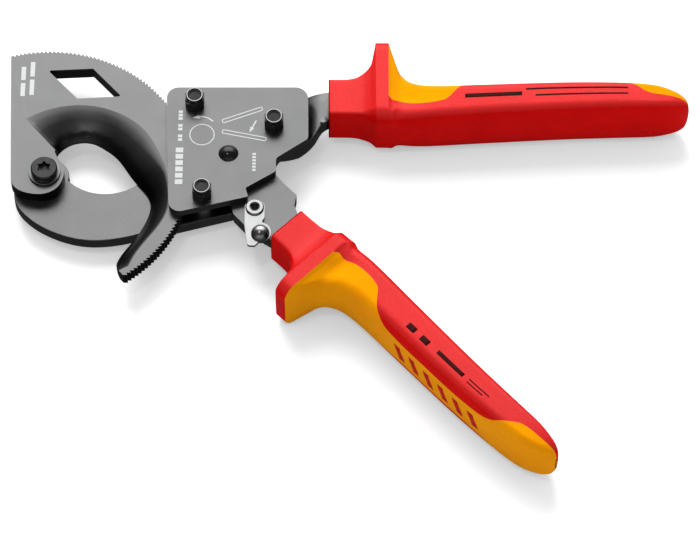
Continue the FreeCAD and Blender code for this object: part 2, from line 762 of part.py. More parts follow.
def build_ratchet():
    """Both pawls, the drive pawl's pin, the springs and the spring post."""
    drive_bottom = LAYER_BOTTOM + " + dims.lug_thick + dims.clearance"
    holding_bottom = JAW_TOP + " + dims.clearance"
    drive_tooth = 36
    holding_tooth = 42
    drive = build_pawl(
        "drive_pawl", drive_tooth, DRIVE_PIN, "dims.drive_pawl_boss", "dims.drive_pawl_bore", drive_bottom
    )
    holding = build_pawl(
        "holding_pawl", holding_tooth, BOLT_UPPER, "dims.holding_pawl_boss", "dims.holding_pawl_bore",
        holding_bottom,
    )
    pin_body = new_body("drive_pawl_pin", LAYER_BOTTOM)
    pin_sketch = new_sketch(pin_body, "drive_pin_outline", None)
    add_circle(pin_sketch, "dims.drive_pin_size", DRIVE_PIN)
    add_pad(pin_body, pin_sketch, "dims.layer_thick")
    post = new_body("spring_post", "dims.jaw_bottom")
    post_sketch = new_sketch(post, "spring_post_outline", None)
    add_circle(post_sketch, "dims.spring_post_size", SPRING_POST)
    add_pad(post, post_sketch, "dims.plate_bottom - dims.jaw_bottom - dims.spring_post_gap")
    on_pawl = " + dims.pawl_thick + dims.clearance"
    seat_bottom = LAYER_TOP + " - dims.spring_seat_deep + dims.clearance"
    springs = [
        torsion_spring(
            "drive_pawl_spring", DRIVE_PIN, "dims.drive_spring_radius", "dims.drive_spring_wire",
            size(drive_bottom + on_pawl), turns=2, start_angle=90, tails=(2.2, 2.2),
        ),
        torsion_spring(
            "holding_pawl_spring", BOLT_UPPER, "dims.holding_spring_radius", "dims.strong_spring_wire",
            size(holding_bottom + on_pawl), turns=3, start_angle=0, tails=(7.0, 5.0),
        ),
        torsion_spring(
            "handle_opening_spring", HANDLE_PIVOT, "dims.opening_spring_radius", "dims.strong_spring_wire",
            size(seat_bottom), turns=2, start_angle=284, tails=(8.0, 0.8),
        ),
    ]
    return [drive, holding, pin_body, post] + springs


# ---------------------------------------------------------------- lock lever


def build_lock_lever():
    """The pressed lever that holds the handles together for carrying, and its rivet."""
    corners = [
        (75.4, -12.4, 3.65),
        (82.8, -12.4, 3.65),
        (82.8, -20.4, 2.0),
        (81.4, -22.6, 0.8),
        (85.2, -23.4, 3.8),
        (85.2, -31.2, 3.8),
        (80.8, -30.9, 0.5),
        (79.2, -32.6, 0.8),
        (76.6, -32.4, 1.0),
        (75.4, -24.0, 3.0),
    ]
    lever = flat_part(
        "lock_lever", rounded(corners), LEVER_BOTTOM, "dims.lever_thick",
        [("dims.lever_hole", LEVER_PIVOT), ("dims.knob_stem", LEVER_KNOB)],
    )
    tube = size("dims.lever_tube") / 2
    bore = size("dims.lever_tube_bore") / 2
    flange = size("dims.lever_flange") / 2
    top_bottom = LEVER_BOTTOM + " + dims.lever_thick + dims.clearance"
    depth = size(f"{top_bottom} - dims.layer_bottom + dims.clearance")
    thick = size("dims.lever_flange_thick")
    bevel = 0.4
    tail_high = 0.9
    tail_radius = flange - 0.3
    mouth_radius = bore + 0.5
    profile = loop(vectors([
        (bore, thick - 0.3), (bore, -depth - tail_high), (tail_radius, -depth - tail_high),
        (tail_radius, -depth), (tube, -depth), (tube, 0), (flange, 0), (flange, thick - bevel),
        (flange - bevel, thick), (mouth_radius, thick),
    ]))
    rivet = round_part("lock_lever_rivet", profile, top_bottom, LEVER_PIVOT)
    knob_high = size("dims.knob_high")
    knob = size("dims.knob_width") / 2
    stem = size("dims.knob_stem") / 2
    stem_long = size("dims.lever_thick")
    foot_high = 0.5
    foot = knob - 0.35
    knob_profile = chain(vectors([
        (0, knob_high), (0, -stem_long), (stem, -stem_long), (stem, 0), (foot, 0), (knob, foot_high),
    ]))
    knob_profile.append(dome(knob, foot_high, knob_high))
    knob_body = round_part(
        "lock_lever_knob", knob_profile, LEVER_BOTTOM + " + dims.lever_thick", LEVER_KNOB
    )
    return [lever, rivet, knob_body]


# ---------------------------------------------------------------- grips

# Where a grip's parts end, measured along it from the front of its collar.
COLLAR_END = 11.0
GUARD_FRONT = 18.0
GUARD_BACK = 22.6
GRIP_END = 136.0


def grip_outline():
    """A grip in plan: x runs along it from the collar, y outwards, away from the other grip."""
    front = vectors([(0, 7.7), (8, 7.9), (12.5, 9.8), (15.8, 14), (17, 19), (17.8, 23.4)])
    back = vectors([
        (22.8, 23.4), (24.4, 17.5), (27.5, 9.6), (33, 5.6), (42, 4.8), (60, 5.2), (90, 5.8), (118, 5),
    ])
    tip = vectors([(118, 5), (129, 2.8), (134.4, -0.6), (134, -4.4), (128, -6.4)])
    inside = vectors([(128, -6.4), (110, -7.2), (93, -7.8), (60, -9.8), (38, -10.9), (26, -11.2)])
    inner_guard = vectors([(26, -11.2), (20, -11.6), (16.6, -10.4), (11, -8), (0, -7.7)])
    pieces = [curve(points) for points in (front, back, tip, inside, inner_guard)]
    return pieces + [line(front[-1], back[0]), line(inner_guard[-1], front[0])]


def grip_side():
    """A grip from the side: thin at the collar, widest at the guard, rounded at its end."""
    collar = size("dims.collar_thick") / 2
    body = size("dims.body_thick") / 2
    guard = size("dims.guard_thick") / 2
    upper = [(0, collar), (COLLAR_END, collar), (GUARD_FRONT, guard), (GUARD_BACK, guard)]
    upper += [(27, body - 0.7), (60, body), (112, body), (126, body - 1), (132, body - 3.5), (GRIP_END, 5)]
    lower = [(along, -half) for along, half in reversed(upper)]
    return loop(vectors(upper + lower))


def insert_split():
    """The plan region that the second colour fills: behind the guard and along the outside."""
    return loop(vectors([
        (20.4, 30), (20.4, -3.4), (44.5, -3.4), (49, 1), (55, 3.9), (88, 4.5), (110, 3.8), (116, 2),
        (120, -0.8), (131, -1), (140, -1.4), (140, 30),
    ]))


def build_grip(name, corner, angle, side, tang):
    """A two-colour grip moulded round a tang; side is +1 where outwards is +Y, else -1."""
    front = place(corner) + Vector(0, 0, size("dims.grip_middle"))
    where = Placement(front, Rotation(Vector(0, 0, 1), size(angle)))

    def extrusion(label, pieces, turn, length):
        sketch = document.addObject("Sketcher::SketchObject", label + "_sketch")
        for piece in pieces:
            if side < 0 and turn is None:
                piece.mirror(Vector(0, 0, 0), Vector(1, 0, 0))
            sketch.addGeometry(piece, False)
        sketch.Placement = where.multiply(turn) if turn else where
        solid = document.addObject("Part::Extrusion", label)
        solid.Base = sketch
        solid.DirMode = "Normal"
        solid.Solid = True
        solid.Symmetric = True
        solid.setExpression("LengthFwd", length)
        return solid

    on_edge = Placement(Vector(0, 0, 0), Rotation(Vector(1, 0, 0), 90))
    across_guard = "80"
    plan = extrusion(name + "_plan", grip_outline(), None, "dims.guard_thick + 2")
    profile = extrusion(name + "_profile", grip_side(), on_edge, across_guard)
    split = extrusion(name + "_split", insert_split(), None, "dims.guard_thick + 4")
    whole = document.addObject("Part::Common", name + "_whole")
    whole.Base = plan
    whole.Tool = profile
    hollow = document.addObject("Part::Cut", name + "_hollow")
    hollow.Base = whole
    hollow.Tool = tang
    shell = document.addObject("Part::Cut", name + "_shell")
    shell.Base = hollow
    shell.Tool = split
    insert = document.addObject("Part::Common", name + "_insert")
    insert.Base = hollow
    insert.Tool = split
    document.recompute()
    return [shell, insert]


# ---------------------------------------------------------------- assembly

frame = build_jaw_frame()
tang = build_moving_tang()
nodes = [frame, tang, build_front_plate(), build_blade()]
nodes += build_blade_pivot()
nodes += build_handle_pivot()
nodes += build_bolts()
nodes += build_ratchet()
nodes += build_lock_lever()
nodes += build_grip("fixed_grip", FIXED_GRIP, "0", 1, frame)
nodes += build_grip("moving_grip", MOVING_GRIP, "dims.grip_moving_angle", -1, tang)
document.recompute()

for item in document.Objects:
    if "Invalid" in item.State or "Error" in item.State:
        raise ValueError(f"{item.Name} did not build: {item.State}")
for node in nodes:
    if node.Shape.isNull() or not node.Shape.isValid() or not node.Shape.Solids:
        raise ValueError(f"{node.Label} has no valid solid")

os.makedirs("parts", exist_ok=True)
for node in nodes:
    node.Shape.exportStep(f"parts/{node.Label}.step")
    print(node.Label, len(node.Shape.Solids), round(node.Shape.Volume, 1))
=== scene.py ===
import math

import bpy
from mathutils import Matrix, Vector


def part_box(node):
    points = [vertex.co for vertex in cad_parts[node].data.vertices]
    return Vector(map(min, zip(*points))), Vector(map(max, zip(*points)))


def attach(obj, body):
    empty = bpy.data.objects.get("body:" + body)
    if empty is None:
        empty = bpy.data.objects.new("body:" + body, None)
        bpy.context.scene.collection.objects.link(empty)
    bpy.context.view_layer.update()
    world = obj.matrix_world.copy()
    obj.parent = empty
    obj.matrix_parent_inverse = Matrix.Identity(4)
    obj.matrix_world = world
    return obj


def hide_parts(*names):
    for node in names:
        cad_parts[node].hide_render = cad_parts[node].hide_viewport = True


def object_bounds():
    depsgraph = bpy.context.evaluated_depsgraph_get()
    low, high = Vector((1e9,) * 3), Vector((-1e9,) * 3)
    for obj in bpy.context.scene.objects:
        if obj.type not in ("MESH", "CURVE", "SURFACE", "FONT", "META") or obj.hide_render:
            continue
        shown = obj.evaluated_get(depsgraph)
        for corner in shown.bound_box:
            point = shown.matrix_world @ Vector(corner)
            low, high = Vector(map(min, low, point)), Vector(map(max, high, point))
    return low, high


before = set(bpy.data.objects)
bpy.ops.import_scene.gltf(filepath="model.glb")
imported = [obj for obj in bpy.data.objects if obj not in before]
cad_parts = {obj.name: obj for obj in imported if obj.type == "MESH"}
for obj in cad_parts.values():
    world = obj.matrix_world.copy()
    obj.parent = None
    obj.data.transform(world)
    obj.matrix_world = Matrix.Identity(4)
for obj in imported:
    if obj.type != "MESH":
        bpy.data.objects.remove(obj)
CAD_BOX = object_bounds()

# The looks of a two-handed ratchet cable cutter. Lengths are millimetres unless a comment says metres,
# and MM makes them metres.
MM = 0.001


# ---------------------------------------------------------------- shader helpers


def connect(tree, node, **inputs):
    """Sets inputs of a node that exists already, each to a value or another node's output."""
    for name, value in inputs.items():
        socket = node.inputs[name.replace("_", " ")]
        if isinstance(value, bpy.types.NodeSocket):
            tree.links.new(value, socket)
        else:
            socket.default_value = value


def new_node(tree, kind, settings=(), **inputs):
    """A shader node; each input is a value or another node's output socket."""
    made = tree.nodes.new("ShaderNode" + kind)
    for name, value in dict(settings).items():
        setattr(made, name, value)
    connect(tree, made, **inputs)
    return made


def new_material(name):
    """An empty principled material: its node tree, surface node and object coordinates."""
    material = bpy.data.materials.new(name)
    material.use_nodes = True
    tree = material.node_tree
    where = new_node(tree, "TexCoord").outputs["Object"]
    return material, tree, tree.nodes["Principled BSDF"], where


def noise(tree, where, size, detail=2.0):
    """Soft noise whose features are about size millimetres across."""
    return new_node(tree, "TexNoise", Vector=where, Scale=1 / (size * MM), Detail=detail).outputs["Fac"]


def stretched(tree, where, along, across):
    """Coordinates in which noise is drawn out along X, as a grinding direction."""
    scale = (1 / along, 1 / across, 1 / across)
    return new_node(tree, "Mapping", Vector=where, Scale=scale).outputs["Vector"]


def spread(tree, value, start, end, low, high):
    """value mapped from start..end to low..high, and held there beyond."""
    mapped = new_node(
        tree, "MapRange", {"clamp": True}, Value=value,
        From_Min=start, From_Max=end, To_Min=low, To_Max=high,
    )
    return mapped.outputs["Result"]


def combined(tree, operation, first, second):
    """Two values put together by a math node: MULTIPLY, ADD or MAXIMUM."""
    made = new_node(tree, "Math", {"operation": operation})
    tree.links.new(first, made.inputs[0])
    tree.links.new(second, made.inputs[1])
    return made.outputs[0]


def absolute(tree, value):
    """The value without its sign."""
    size = new_node(tree, "Math", {"operation": "ABSOLUTE"})
    tree.links.new(value, size.inputs[0])
    return size.outputs[0]


def blend_colour(tree, share, first, second):
    """The first colour where share is 0 and the second where it's 1."""
    mixed = new_node(tree, "MixRGB", Fac=share, Color1=first, Color2=second)
    return mixed.outputs["Color"]


# How alike a softened and a true normal are on a face, and where an edge is fully worn, and the
# number of samples that soften one.
FACE_LIKENESS = 0.985
EDGE_LIKENESS = 0.88
EDGE_SAMPLES = 6


def worn_edges(tree, width):
    """One along a part's edges and none on its faces, over about width millimetres."""
    softened = new_node(tree, "Bevel", {"samples": EDGE_SAMPLES}, Radius=width * MM).outputs["Normal"]
    true = new_node(tree, "NewGeometry").outputs["Normal"]
    likeness = new_node(tree, "VectorMath", {"operation": "DOT_PRODUCT"})
    tree.links.new(softened, likeness.inputs[0])
    tree.links.new(true, likeness.inputs[1])
    return spread(tree, likeness.outputs["Value"], FACE_LIKENESS, EDGE_LIKENESS, 0.0, 1.0)


def grey(level, tint=1.0):
    """A grey of one level, a little cooler where tint is below 1."""
    return (level * tint, level, level / tint, 1.0)


# ---------------------------------------------------------------- materials

# Sizes of the details on metal, and the height of its bumps in metres.
STEEL_CLOUD = 9
STEEL_GRAIN = 0.22
STEEL_STROKE = 0.5
STROKE_STRETCH = 12
RUBBED_PATCH = 2.5
RUBBED_WIDTH = 0.25
WORN_WIDTH = 0.22
BUMP_HEIGHT = 0.02 * MM

# Painted shade on the blade's bevel, in metres: how far below the flat face the painted shade is full at
# the arc and at the tail, and the share of the steel's tone it leaves there. The tail lies where Y is
# below 0, the arc where it's above ARC_START.
GRIND_SHADE_DEPTH = 1.1 * MM
TAIL_GRIND_SHADE_DEPTH = 0.3 * MM
GRIND_SHADE_EDGE = 0.03 * MM
GRIND_SHADE_TONE = 0.3
TAIL_GRIND_SHADE_TONE = 0.12
ARC_START = 15 * MM


def painted_grind_shade(tree, where, face, tone, flat_face):
    """The face's colour with painted shade below the height of the blade's flat face, darker the lower
    it lies.
    """
    place = new_node(tree, "SeparateXYZ", Vector=where)
    tail = spread(tree, place.outputs["Y"], 0.0, ARC_START, 1.0, 0.0)
    full_dark = spread(tree, tail, 0.0, 1.0, flat_face - GRIND_SHADE_DEPTH, flat_face - TAIL_GRIND_SHADE_DEPTH)
    grind_shade = spread(tree, place.outputs["Z"], full_dark, flat_face - GRIND_SHADE_EDGE, 1.0, 0.0)
    dark = blend_colour(tree, tail, grey(tone * GRIND_SHADE_TONE), grey(tone * TAIL_GRIND_SHADE_TONE))
    return blend_colour(tree, grind_shade, face, dark)


def satin_steel(name, tone, roughness, edge, flat_face=None):
    """Blackened tool steel: satin, finely grained, rubbed at its edges, with painted shade below its
    flat face.
    """
    material, tree, surface, where = new_material(name)
    cloud = noise(tree, where, STEEL_CLOUD, 3)
    grain = noise(tree, where, STEEL_GRAIN)
    strokes = noise(tree, stretched(tree, where, STROKE_STRETCH, 1), STEEL_STROKE, 3)
    patch = blend_colour(tree, cloud, grey(tone * 0.9), grey(tone * 1.1, 0.99))
    fine = blend_colour(tree, spread(tree, grain, 0.35, 0.65, 0, 1), grey(0.86), grey(1.0))
    shaded = new_node(tree, "MixRGB", {"blend_type": "MULTIPLY"}, Fac=1.0, Color1=patch, Color2=fine)
    patchy = spread(tree, noise(tree, where, RUBBED_PATCH, 3), 0.35, 0.7, 0.25, 1.0)
    rubbed = combined(tree, "MULTIPLY", worn_edges(tree, RUBBED_WIDTH), patchy)
    face = shaded.outputs["Color"]
    # Painted shade on the blade's bevel, below its flat face.
    if flat_face:
        face = painted_grind_shade(tree, where, face, tone, flat_face)
    colour = blend_colour(tree, rubbed, face, grey(edge))
    bump = new_node(tree, "Bump", Strength=0.35, Distance=BUMP_HEIGHT, Height=grain)
    scored = new_node(
        tree, "Bump", Strength=0.12, Distance=BUMP_HEIGHT, Height=strokes, Normal=bump.outputs["Normal"]
    )
    connect(
        tree, surface, Base_Color=colour, Metallic=1.0,
        Roughness=spread(tree, cloud, 0.3, 0.7, roughness - 0.03, roughness + 0.05),
        Normal=scored.outputs["Normal"],
    )
    return material


# Fasteners: their oiled black, and a painted highlight on top of the lock nuts, a ring of lighter metal,
# with its depth in metres.
OIL_BLACK = grey(0.008)
PAINTED_RIM_HIGHLIGHT = grey(0.26)
RIM_HIGHLIGHT_DEPTH = 0.08 * MM


def gloss_black(name, edge, roughness=0.2, highlight_above=None):
    """Oiled black fasteners with rubbed edges, and a painted highlight of lighter metal above a height
    in metres.
    """
    material, tree, surface, where = new_material(name)
    cloud = noise(tree, where, 1.6, 3)
    metallic_share = worn_edges(tree, WORN_WIDTH)
    colour = blend_colour(tree, metallic_share, OIL_BLACK, grey(edge))
    if highlight_above:
        # Painted highlight: lighter metal on the nut tops, where their rims catch the light.
        height = new_node(tree, "SeparateXYZ", Vector=where).outputs["Z"]
        rim_highlight = spread(tree, height, highlight_above - 0.02 * MM, highlight_above, 0.0, 1.0)
        colour = blend_colour(tree, rim_highlight, colour, PAINTED_RIM_HIGHLIGHT)
        # Metal shows both at the rubbed edges and in the painted highlight.
        metallic_share = combined(tree, "MAXIMUM", rim_highlight, metallic_share)
    bump = new_node(tree, "Bump", Strength=0.25, Distance=BUMP_HEIGHT, Height=noise(tree, where, 0.35))
    connect(
        tree, surface, Base_Color=colour, Metallic=metallic_share,
        Roughness=spread(tree, cloud, 0.3, 0.7, roughness - 0.06, roughness + 0.1),
        Normal=bump.outputs["Normal"],
    )
    return material


def plated(name, tone, roughness, mottle):
    """Plated metal: bright or dark, smooth, with a faint mottle."""
    material, tree, surface, where = new_material(name)
    cloud = noise(tree, where, mottle, 3)
    colour = blend_colour(tree, cloud, grey(tone * 0.9), grey(min(tone * 1.08, 1.0), 0.99))
    bump = new_node(tree, "Bump", Strength=0.15, Distance=BUMP_HEIGHT, Height=noise(tree, where, 0.3))
    connect(
        tree, surface, Base_Color=colour, Metallic=1.0,
        Roughness=spread(tree, cloud, 0.3, 0.7, roughness * 0.8, roughness * 1.3),
        Normal=bump.outputs["Normal"],
    )
    return material


# Grips: mottle and grain, the grain's height in metres, the roughness, the painted sheen left on upright
# walls, and the grey that indirect light sees.
GRIP_CLOUD = 14
GRIP_GRAIN = 0.5
GRAIN_HEIGHT = 0.14 * MM
GRIP_ROUGHNESS = 0.46
WALL_PAINTED_SHEEN = 0.03
UNTINTED = grey(0.12)


def moulded_grip(name, colour, deep, painted_sheen):
    """Moulded insulation: a fine grain, a painted sheen that is stronger on faces that look up, and no
    tint cast around it.
    """
    material, tree, surface, where = new_material(name)
    cloud = noise(tree, where, GRIP_CLOUD)
    grain = noise(tree, where, GRIP_GRAIN, 3)
    base = blend_colour(tree, spread(tree, cloud, 0.3, 0.7, 0, 1), colour, deep)
    pits = blend_colour(tree, spread(tree, grain, 0.35, 0.6, 0, 1), grey(0.82), grey(1.0))
    pitted = new_node(tree, "MixRGB", {"blend_type": "MULTIPLY"}, Fac=0.5, Color1=base, Color2=pits)
    bump = new_node(tree, "Bump", Strength=0.9, Distance=GRAIN_HEIGHT, Height=grain)
    # Painted sheen: the specular level rises on faces that look up and falls on upright walls.
    facing = new_node(tree, "SeparateXYZ", Vector=new_node(tree, "NewGeometry").outputs["Normal"])
    in_view = new_node(tree, "LightPath").outputs["Is Camera Ray"]
    connect(
        tree, surface, Base_Color=blend_colour(tree, in_view, UNTINTED, pitted.outputs["Color"]),
        Normal=bump.outputs["Normal"],
        Roughness=spread(tree, grain, 0.3, 0.7, GRIP_ROUGHNESS + 0.06, GRIP_ROUGHNESS - 0.06),
        Specular_IOR_Level=spread(tree, facing.outputs["Z"], 0.45, 0.95, WALL_PAINTED_SHEEN, painted_sheen),
    )
    return material


def nylon(name, tone):
    """Black nylon, dull and slightly mottled."""
    material, tree, surface, where = new_material(name)
    mottled = blend_colour(tree, noise(tree, where, 0.8, 3), grey(tone * 0.7), grey(tone * 1.4))
    bump = new_node(tree, "Bump", Strength=0.3, Distance=0.03 * MM, Height=noise(tree, where, 0.3))
    connect(tree, surface, Base_Color=mottled, Roughness=0.6, Normal=bump.outputs["Normal"])
    return material


def print_ink(name, colour, gaps):
    """Pad-printed ink: flat, with a few pinholes that show the colour of gaps."""
    material, tree, surface, where = new_material(name)
    holes = spread(tree, noise(tree, where, 0.3, 3), 0.28, 0.36, 0, 1)
    connect(
        tree, surface, Base_Color=blend_colour(tree, holes, gaps, colour), Roughness=0.55,
        Specular_IOR_Level=0.1,
    )
    return material


# Steel: tone, roughness and the tone of rubbed edges. Fasteners: the tone of rubbed edges, and
# roughness. Plating: tone, roughness and size of mottle. Grips: colour, deeper colour and the painted
# sheen on faces
# that look up. Inks: colour, and what shows through their pinholes.
STEEL = satin_steel("blackened_steel", 0.19, 0.34, 0.34)
# The blade's steel carries painted shade on its bevel, below its flat face.
BLADE_STEEL = satin_steel("blade_steel", 0.19, 0.32, 0.38, flat_face=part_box("moving_blade")[1].z)
WASHER_STEEL = satin_steel("washer_steel", 0.21, 0.3, 0.6)
BARE_STEEL = satin_steel("bare_steel", 0.42, 0.3, 0.7)
BLACK_METAL = gloss_black("black_hardware", 0.16, 0.13)
# The lock nuts carry a painted highlight on their tops.
NUT_METAL = gloss_black("nut_black", 0.16, highlight_above=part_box("lock_nuts")[1].z - RIM_HIGHLIGHT_DEPTH)
BOLT_METAL = gloss_black("bolt_black", 0.1, 0.5)
SCREW_METAL = gloss_black("screw_black", 0.12, 0.34)
BRIGHT = plated("bright_plating", 0.36, 0.24, 3.0)
CHROME = plated("dark_chrome", 0.42, 0.26, 2.0)
SPRING_WIRE = plated("spring_wire", 0.5, 0.3, 1.0)
NYLON = nylon("black_nylon", 0.008)
# The red grip carries a strong painted sheen on faces that look up, the yellow a faint one.
RED = moulded_grip("red_grip", (0.74, 0.002, 0.002, 1), (0.67, 0.001, 0.001, 1), 0.62)
YELLOW = moulded_grip("yellow_grip", (1.0, 0.37, 0.0, 1), (0.93, 0.32, 0.0, 1), 0.04)
WHITE_INK = print_ink("white_ink", (0.62, 0.63, 0.63, 1), (0.2, 0.2, 0.2, 1))
DARK_INK = print_ink("dark_ink", (0.03, 0.004, 0.004, 1), (0.4, 0.01, 0.01, 1))
RED_INK = print_ink("red_ink", (0.6, 0.006, 0.004, 1), (0.7, 0.2, 0.01, 1))

NODE_MATERIALS = {
    STEEL: ("fixed_jaw_frame", "front_plate", "moving_handle_tang"),
    BLADE_STEEL: ("moving_blade",),
    WASHER_STEEL: ("blade_pivot_washer",),
    BARE_STEEL: (
        "blade_pivot_bush", "handle_pivot_bush", "plate_spacers", "drive_pawl", "drive_pawl_pin",
        "holding_pawl", "spring_post",
    ),
    BLACK_METAL: ("blade_pivot_nut", "handle_pivot_rivet"),
    BOLT_METAL: ("plate_bolts",),
    NUT_METAL: ("lock_nuts",),
    SCREW_METAL: ("blade_pivot_screw",),
    BRIGHT: ("lock_lever", "lock_lever_rivet"),
    CHROME: ("lock_lever_knob",),
    SPRING_WIRE: ("drive_pawl_spring", "holding_pawl_spring", "handle_opening_spring"),
    NYLON: ("nut_inserts",),
}

# Millimetres of rounding along the edges of each cut or turned steel part.
EDGE_ROUNDING = {
    "fixed_jaw_frame": 0.3,
    "front_plate": 0.3,
    "moving_handle_tang": 0.3,
    "moving_blade": 0.12,
    "blade_pivot_washer": 0.15,
    "blade_pivot_screw": 0.12,
    "lock_lever": 0.25,
}


# Corners this close are one corner, and edges sharper than this many degrees are rounded.
WELD_DISTANCE = 0.001
SHARP_DEGREES = 35


def round_edges(piece, width, degrees=SHARP_DEGREES):
    """Rounds a piece's sharp edges by width millimetres, once its split faces are welded."""
    weld = piece.modifiers.new("weld", "WELD")
    weld.merge_threshold = WELD_DISTANCE * MM
    bevel = piece.modifiers.new("edge_rounding", "BEVEL")
    bevel.width = width * MM
    bevel.segments = 2
    bevel.limit_method = "ANGLE"
    bevel.angle_limit = math.radians(degrees)
    bevel.harden_normals = True


def finish_cad_nodes():
    """Every CAD node that stays in view gets its material and, on cut steel, rounded edges."""
    for material, names in NODE_MATERIALS.items():
        for name in names:
            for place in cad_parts[name].material_slots:
                place.material = material
    for name, width in EDGE_ROUNDING.items():
        round_edges(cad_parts[name], width)


# ---------------------------------------------------------------- mesh helpers


def new_piece(name, points, faces, material, smooth=True):
    """A mesh object from points in millimetres."""
    mesh = bpy.data.meshes.new(name)
    mesh.from_pydata([Vector(point) * MM for point in points], [], faces)
    mesh.validate()
    mesh.materials.append(material)
    for face in mesh.polygons:
        face.use_smooth = smooth
    piece = bpy.data.objects.new(name, mesh)
    bpy.context.scene.collection.objects.link(piece)
    return piece


def thicken(outer, inner, faces):
    """A closed solid between a sheet of faces and the same sheet at its inner points."""
    used = sorted({corner for face in faces for corner in face})
    first = {old: new for new, old in enumerate(used)}
    count = len(used)
    points = [outer[old] for old in used] + [inner[old] for old in used]
    solid = [tuple(first[corner] for corner in face) for face in faces]
    solid += [tuple(first[corner] + count for corner in reversed(face)) for face in faces]
    edges = {(face[side - 1], face[side]) for face in faces for side in range(len(face))}
    for start, end in sorted(edges):
        if (end, start) not in edges:
            solid.append((first[end], first[start], first[start] + count, first[end] + count))
    return points, solid


def smooth_value(points, where):
    """The value at where of a smooth curve through (place, value) pairs."""
    last = len(points) - 1
    index = max([0] + [i for i in range(last) if points[i][0] <= where])

    def slope(at):
        before = points[max(at - 1, 0)]
        after = points[min(at + 1, last)]
        return (after[1] - before[1]) / (after[0] - before[0])

    (left, low), (right, high) = points[index], points[index + 1]
    width = right - left
    share = min(max((where - left) / width, 0), 1)
    rest = 1 - share
    ends = low * rest * rest * (1 + 2 * share) + high * share * share * (3 - 2 * share)
    leans = slope(index) * share * rest * rest - slope(index + 1) * share * share * rest
    return ends + width * leans


# ---------------------------------------------------------------- grips

# A section's corner: the flat share of its top, the upright share of its wall, and how full it is.
COLLAR = (0.86, 0.72, 0.70)
GUARD = (0.78, 0.66, 0.45)
BODY = (0.49, 0.18, 0.92)
TIP = (0.34, 0.10, 0.92)

# Stations along a grip: the outer and the inner edge in plan as (along, outwards) from the front
# of the collar, half of the thickness, how far the thumb's saddle dips there, and the corner.
GRIP_STATIONS = (
    ((0, 8.2), (0, -8.2), 8.9, 0, COLLAR),
    ((8, 8.4), (9, -8.4), 8.9, 0, COLLAR),
    ((12.5, 10.1), (12.8, -9.0), 9.5, 0, COLLAR),
    ((15.8, 14.2), (15.4, -10.2), 10.9, 0, GUARD),
    ((17, 19.2), (17, -11.2), 12.0, 0, GUARD),
    ((17.8, 24), (18, -11.9), 12.8, 0, GUARD),
    ((22.8, 24), (22.6, -12.0), 12.8, 0, GUARD),
    ((24.6, 18.4), (24.2, -12.2), 12.1, 0.9, GUARD),
    ((27.9, 11.2), (27.4, -12.3), 11.8, 2.0, BODY),
    ((33, 6.7), (33, -12.2), 12.1, 0.9, BODY),
    ((42, 5.1), (42, -11.6), 12.4, 0.1, BODY),
    ((60, 5.5), (60, -10.3), 12.5, 0, BODY),
    ((90, 6.4), (90, -8.5), 12.5, 0, BODY),
    ((112, 6.1), (112, -7.6), 12.5, 0, BODY),
    ((124, 5), (124, -7.2), 12.0, 0, BODY),
    ((131, 3), (131, -6.4), 10.8, 0, TIP),
    ((134.7, 0.6), (134.5, -5.2), 8.7, 0, TIP),
    ((136.1, -1.0), (136, -4.0), 6.2, 0, TIP),
    ((136.6, -2.3), (136.6, -2.8), 2.4, 0, TIP),
)

# The guard: where it starts outwards, the stations of its flat end, and the smooth runs of stations.
GUARD_ROOT = 12.0
RIDGE_FRONT = 5
RIDGE_BACK = 6
GRIP_RUNS = ((0, RIDGE_FRONT), (RIDGE_FRONT, RIDGE_BACK), (RIDGE_BACK, len(GRIP_STATIONS) - 1))

# Where the two colours meet: distance along the grip, and the turn round the section, in which
# 0 is the middle of the inner wall, 0.25 the middle of the top and 0.5 the middle of the outer wall.
COLOUR_EDGE = (
    (22.6, 0.214), (32, 0.219), (44, 0.243), (47.5, 0.295), (51, 0.355), (57, 0.405), (80, 0.415),
    (104, 0.41), (111, 0.385), (116, 0.32), (121, 0.26), (131, 0.25), (136, 0.25),
)

# Ribs across the guard's flat end: their number and pitch, how far they keep from its edges, each row
# of a rib's section as half of its width there and its height above the guard, and a rib's corners.
RIB_COUNT = 6
RIB_PITCH = 2.3
RIB_INSET = 0.7
RIB_SECTION = ((0.55, -0.2), (0.3, 0.3))
RIB_CORNERS = 8

# Plain printed bars: start and end along the grip, first and last turn round it, and slant.
GRIP_PRINT = {
    "fixed_grip": [
        (51.5, 73, 0.246, 0.274, 0), (74.5, 113, 0.286, 0.298, 0), (78, 113, 0.238, 0.25, 0),
    ],
    "moving_grip": [
        (63.5, 67.5, 0.265, 0.305, 0), (70.5, 74.5, 0.265, 0.305, 0), (79, 92.5, 0.265, 0.293, 0),
        (95, 103, 0.29, 0.298, 0), (95, 105, 0.266, 0.274, 0),
    ],
}

# Strokes on the yellow band, then the mesh of every mark: millimetres between its rows, columns across
# it, and how far it stands out of the grip and reaches into it.
BAND_STROKES = [(62 + 7.6 * stroke, 65 + 7.6 * stroke, 0.44, 0.56, 3.0) for stroke in range(6)]
PRINT_STEP = 1.5
PRINT_COLUMNS = 4
PRINT_PROUD = 0.05
PRINT_SUNK = 0.1

# The grip's mesh: columns round each colour, millimetres between rings, the inside of the moulding
# as a share of its outside, and where that inside starts and ends.
RED_COLUMNS = 60
YELLOW_COLUMNS = 52
RING_SPACING = 0.9
GRIP_WALL = 0.72
SPINE_ENDS = (3.0, 130.0)

# Rounding where the two colours meet, along edges sharper than this many degrees.
GRIP_ROUNDING = 0.16
GRIP_SHARP_DEGREES = 40

# A quarter section's shares: its flat top, its upright wall, and the bend between them.
TOP_SHARE = 0.25
WALL_SHARE = 0.2
BEND_SHARE = 0.55

# The thumb's saddle starts this share of the way outwards and is full after another.
SADDLE_START = 0.12
SADDLE_REACH = 0.4


